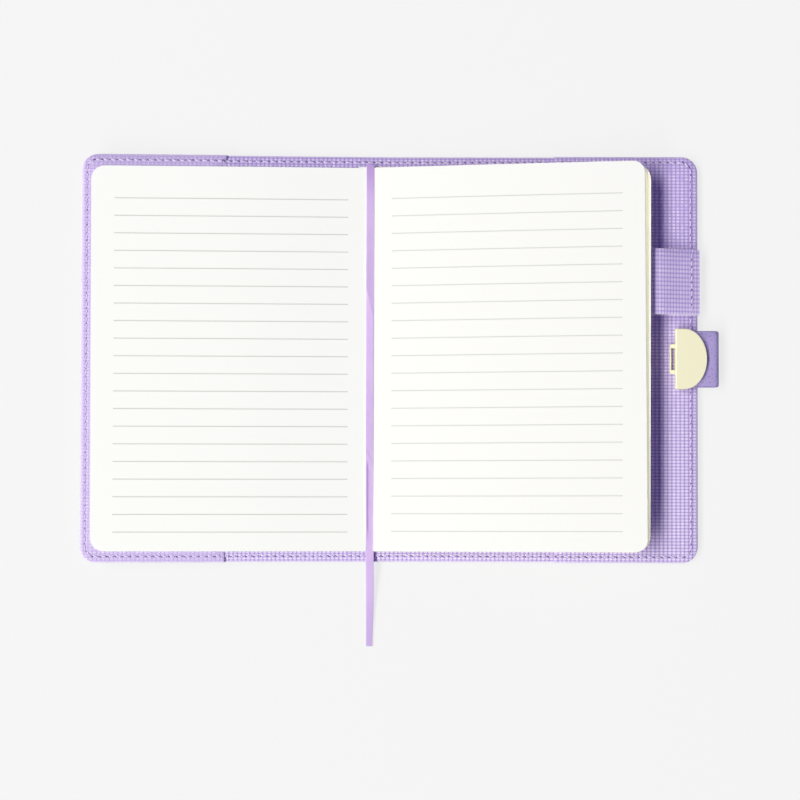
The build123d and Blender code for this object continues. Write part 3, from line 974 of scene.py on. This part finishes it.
def make_block():
    lower_sheets = 24
    fanned_sheets = 10
    stations = 16
    lower_inset = 0.35
    levels = [fan_start * number / lower_sheets for number in range(lower_sheets)]
    levels += [fan_start + (1.0 - fan_start) * number / fanned_sheets for number in range(fanned_sheets + 1)]
    points, faces, flat = [], [], []
    for low, high in zip(levels, levels[1:]):
        jitter = (draw.uniform(0.0, 0.12), draw.uniform(0.0, 0.1))
        fans = high > fan_start
        fanned = fan_share(high)
        if high == fan_start:
            jitter = (0.0, 0.0)
        half = page_half - lower_inset * (1.0 - fanned)
        corner = rim_corner + (page_corner - rim_corner) * fanned
        turned = rim_turned + (page_turned - rim_turned) * fanned
        made, made_faces = page_slab(block_left, fore_edge(high, fans), block_surface(low),
                                     block_surface(high), half, block_middle(fanned), stations, jitter,
                                     fore_edge(low, fans), corner, turned)
        half_count = len(made) // 2
        faces += shifted(made_faces, len(points))
        points += [back(*point) for point in made]
        flat += [(x + y, low if i < half_count else high) for i, (x, y, _) in enumerate(made)]
    piece = make_piece("page_sheets", points, faces, flat, edge_paper, paper_sharp)
    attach(piece, "page_block")
    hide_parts(*[f"signature_{number}" for number in range(1, 6)])


def ruled_page(name, inset, low, high, root=()):
    """One ruled page on the block, drawn in by the inset, from one lift above the sheets to another."""
    stations = 28
    made, faces = page_slab(block_left, fore_edge(1.0) - inset, block_surface(1.0, low),
                            block_surface(1.0, high), page_half - inset, block_middle(1.0), stations,
                            turned=page_turned, root=root)
    points = [back(*point) for point in made]
    flat = [(x, y) for x, y, _ in made]
    return make_piece(name, points, faces, flat, right_paper)


def make_next_page():
    """The ruled page that comes to light when the top page is turned."""
    inset = 0.1
    clearance = 0.004
    piece = ruled_page("next_page", inset, clearance, leaf_lift / 2)
    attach(piece, "page_block")


def make_top_page():
    """The page that turns, with extra stations along its root, where it is bound."""
    root = [leaf_bend * (step + 1) / leaf_bend_steps for step in range(leaf_bend_steps)]
    piece = ruled_page("top_page", 0.0, leaf_lift, leaf_lift + leaf_thickness, root)
    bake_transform(piece)
    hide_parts("top_leaf")


def left_level(lift):
    """Height of the first leaves: flat on the pocket, dipping towards the gutter."""
    flat_start = pocket_mouth - seam_width
    def level(x):
        far = abs(x)
        return stack_low + lift - (stack_low - gutter_dip_low) * smooth_step(flat_start, gutter, far)
    return level


def left_middle(x):
    return -left_page_drop


def make_left_pages():
    sheets = 5
    stations = 24
    slips = 0.12
    strip_width = 3.2
    strip_shift = 0.5
    strip_low = 0.05
    strip_high = 0.35
    strip_corner = 0.05
    strip_stations = 3
    slabs = []
    for number in range(sheets):
        low = stack_thickness * number / sheets
        high = stack_thickness * (number + 1) / sheets
        loose = number < sheets - 1
        jitter = (draw.uniform(0.0, slips) * loose, draw.uniform(0.0, slips) * loose)
        slabs.append(page_slab(gutter, stack_outer, left_level(low), left_level(high), page_half, left_middle,
                               stations, jitter, corner=left_corner, turned=left_turned))
    slabs.append(page_slab(gutter, gutter + strip_width, left_level(strip_low), left_level(strip_high),
                           page_half, lambda x: left_middle(x) + strip_shift, strip_stations,
                           corner=strip_corner))
    points, faces, flat = [], [], []
    for made, made_faces in slabs:
        faces += shifted(made_faces, len(points))
        points += [front(-x, y, z) for x, y, z in made]
        flat += [(-x, y) for x, y, _ in made]
    piece = make_piece("left_pages", points, faces, flat, left_paper, paper_sharp)
    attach(piece, "first_leaves")
    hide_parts("left_leaves")


make_block()
make_next_page()
make_top_page()
make_left_pages()


# Pen loop

loop_left = 98.7
loop_right = 118.49
loop_middle = 29.45
loop_height = 5.6
loop_wall = 0.55


def thick_band(line, wall, half, middle_y, place, rim=0.16, narrow=None):
    """Band of an even thickness along a line in x and z, with softly rounded long edges."""
    steps = 6
    shoulder = half - 0.3 * rim
    normals = []
    for i in range(len(line)):
        before, after = line[max(i - 1, 0)], line[min(i + 1, len(line) - 1)]
        run = Vector((after[0] - before[0], after[1] - before[1])).normalized()
        normals.append(Vector((-run.y, run.x)))
    under = [(-half + rim + (2 * half - 2 * rim) * i / steps, 0.0) for i in range(steps + 1)]
    over = [(half - rim - (2 * half - 2 * rim) * i / steps, 1.0) for i in range(steps + 1)]
    profile = under + [(shoulder, 0.15), (half, 0.5), (shoulder, 0.85)]
    profile += over + [(-shoulder, 0.85), (-half, 0.5), (-shoulder, 0.15)]
    count = len(profile)
    points, flat, faces = [], [], []
    travelled = 0.0
    for i, (x, z) in enumerate(line):
        if i:
            travelled += math.hypot(x - line[i - 1][0], z - line[i - 1][1])
        width = 1.0 - narrow(x) / half if narrow else 1.0
        for y, share in profile:
            out = (share - 0.5) * wall
            points.append(place(x + normals[i].x * out, middle_y + y * width, z + normals[i].y * out))
            flat.append((travelled, y))
    for row in range(len(line) - 1):
        for i in range(count):
            after = (i + 1) % count
            a, b = row * count, (row + 1) * count
            faces.append((a + i, a + after, b + after, b + i))
    faces.append(tuple(range(count)))
    faces.append(tuple(range((len(line) - 1) * count, len(line) * count)))
    return points, faces, flat


def curve_line(control, steps):
    """Smooth line through control points in x and z."""
    line = []
    padded = [control[0]] + list(control) + [control[-1]]
    for i in range(1, len(padded) - 2):
        p0, p1, p2, p3 = (Vector(padded[i + k]) for k in (-1, 0, 1, 2))
        for step in range(steps):
            t = step / steps
            line.append(tuple(0.5 * (2 * p1 + (p2 - p0) * t + (2 * p0 - 5 * p1 + 4 * p2 - p3) * t * t
                                     + (3 * p1 - p0 - 3 * p2 + p3) * t ** 3)))
    line.append(tuple(control[-1]))
    return line


def make_pen_loop():
    steps = 5
    slack = 0.02
    low = pocket_top + 0.5 * loop_wall + slack
    top = pocket_top + loop_height - 0.5 * loop_wall - 0.12
    inner = loop_left + 0.5 * loop_wall
    control = [(loop_right, low), (112.0, low), (106.0, low), (inner + 1.3, low + 0.05),
               (inner + 0.15, low + 0.9), (inner, low + 2.2), (inner + 0.08, top - 0.6),
               (inner + 0.55, top - 0.07), (inner + 2.0, top), (inner + 4.5, top - 0.35),
               (110.0, low + 2.75), (114.5, low + 1.6), (loop_right, low + loop_wall + slack)]
    line = curve_line(control, steps)
    points, faces, flat = thick_band(line, loop_wall, loop_half, loop_middle, back)
    piece = make_piece("pen_band", points, faces, flat, lavender_turned, band_sharp)
    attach(piece, "pen_loop_band")
    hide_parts("pen_loop")
    sew_pen_loop(line)


def sew_pen_loop(line):
    """Stitches that hold the two ends of the band, along its upper run near the cover's edge."""
    seam_x = 115.4
    end_gaps = 2.0
    thread_lift = 0.05
    hole_lift = 0.02
    thread_radius = 0.25
    thread_share = 0.7
    hole_radius = 0.2
    run = [place for place in line if place[1] > line[-1][1] or place is line[-1]]
    before, after = next((a, b) for a, b in zip(run, run[1:]) if a[0] <= seam_x <= b[0])
    share = (seam_x - before[0]) / (after[0] - before[0])
    z = before[1] + (after[1] - before[1]) * share + 0.5 * loop_wall
    threads, holes = ([], [], []), ([], [], [])
    count = round((2 * loop_half - end_gaps) / stitch_pitch)
    for number in range(count):
        y = loop_middle + (number - (count - 1) / 2) * stitch_pitch
        heading = math.radians(-90.0 - draw.uniform(8.0, 18.0))
        spot = (seam_x, y, z + thread_lift)
        add_capsule(threads, back, spot, heading, stitch_pitch * thread_share, thread_radius, thread_squash)
        if number:
            # Dark mark of painted shade where the needle went through.
            hole = (seam_x, y - 0.5 * stitch_pitch, z + hole_lift)
            add_capsule(holes, back, hole, heading, draw.uniform(0.7, 1.0), hole_radius, hole_squash)
    for name, made, material in (("stitches_pen_band", threads, thread),
                                 ("needle_holes_pen_band", holes, needle_hole_shade)):
        piece = make_piece(name, *made, material)
        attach(piece, "pen_loop_band")


make_pen_loop()


# Lock strap

strap_thickness = 1.0
strap_level = 1.2
strap_end_level = 4.3
strap_hinge = (joints["strap_lift"]["pos_m"][0] - axis_x) / MM
strap_fold = (joints["strap_unfold"]["pos_m"][0] - axis_x) / MM
strap_end_hinge = (joints["clasp_level"]["pos_m"][0] - axis_x) / MM
clasp_flat = 108.9
strap_end_start = clasp_flat + 3.1


def strap_narrow(x):
    """How far the corners of the fold are drawn in."""
    drawn_in = 0.9
    return drawn_in * smooth_step(strap_fold - 1.1, strap_fold + 0.6, x) ** 2


def make_strap():
    """Four stretches of the strap, each drawn along a smooth line through its control points; the two middle
    ones turn between their second and fourth points.
    """
    bend = 1.4
    turn = bend * 0.29
    give = 1.0
    stretch_grain = 8.0
    sewn_length = 8.0
    steps = 6
    rim = 0.3
    low, high = strap_level, strap_end_level
    low_middle = (strap_hinge + strap_fold) / 2
    high_middle = (strap_end_hinge + strap_fold) / 2
    rise_middle = (low + high) / 2
    root = [(cover_reach - sewn_length, low), (strap_hinge - give, low), (strap_hinge, low),
            (strap_hinge + give, low), (low_middle, low)]
    lower = [(low_middle, low), (strap_fold - bend, low), (strap_fold - turn, low + turn),
             (strap_fold, low + bend), (strap_fold, rise_middle)]
    upper = [(strap_fold, rise_middle), (strap_fold, high - bend), (strap_fold - turn, high - turn),
             (strap_fold - bend, high), (high_middle, high)]
    end = [(high_middle, high), (strap_end_hinge + give, high), (strap_end_hinge, high),
           (strap_end_hinge - give, high), (strap_end_start, high)]
    parts = (
        ("strap_sewn_end", root, ("strap_root",), ("back_cover", "strap_a")),
        ("strap_lower_turn", lower, ("strap_lower",), ("strap_a", "strap_b")),
        ("strap_upper_turn", upper, ("strap_fold",), ("strap_b", "strap_c")),
        ("strap_clasp_end", end, ("strap_upper", "strap_end"), ("strap_c", "clasp")),
    )
    for number, (name, control, replaced, bodies) in enumerate(parts):
        start, end_point = control[1], control[3]
        line = curve_line(control, steps)
        points, faces, flat = thick_band(line, strap_thickness, strap_half, 0.0, back, rim, strap_narrow)
        flat = [(u + number * stretch_grain, v) for u, v in flat]
        piece = make_piece(name, points, faces, flat, strap_leather, band_sharp)
        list(bodies)
        back(start[0], 0, start[1])
        back(end_point[0], 0, end_point[1])
        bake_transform(piece)
        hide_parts(*replaced)


make_strap()


# Clasp, lock and what stays of the CAD model

def dress(material, *names):
    for name in names:
        slots = nodes[name].data.materials
        slots.clear()
        slots.append(material)


dress(pale_gold, "clasp_face", "clasp_tongue", "lock_case")
dress(steel, "clasp_back_plate", "clasp_rivets", "lock_base_plate", "lock_backing_plate", "lock_rivets",
      "latch_bolt", "latch_spring", "key_plug")
dress(board, "back_board", "front_board")
dress(card, "back_card", "front_card")
dress(glue, "binding_glue")

bpy.context.scene.view_settings.view_transform = "Standard"
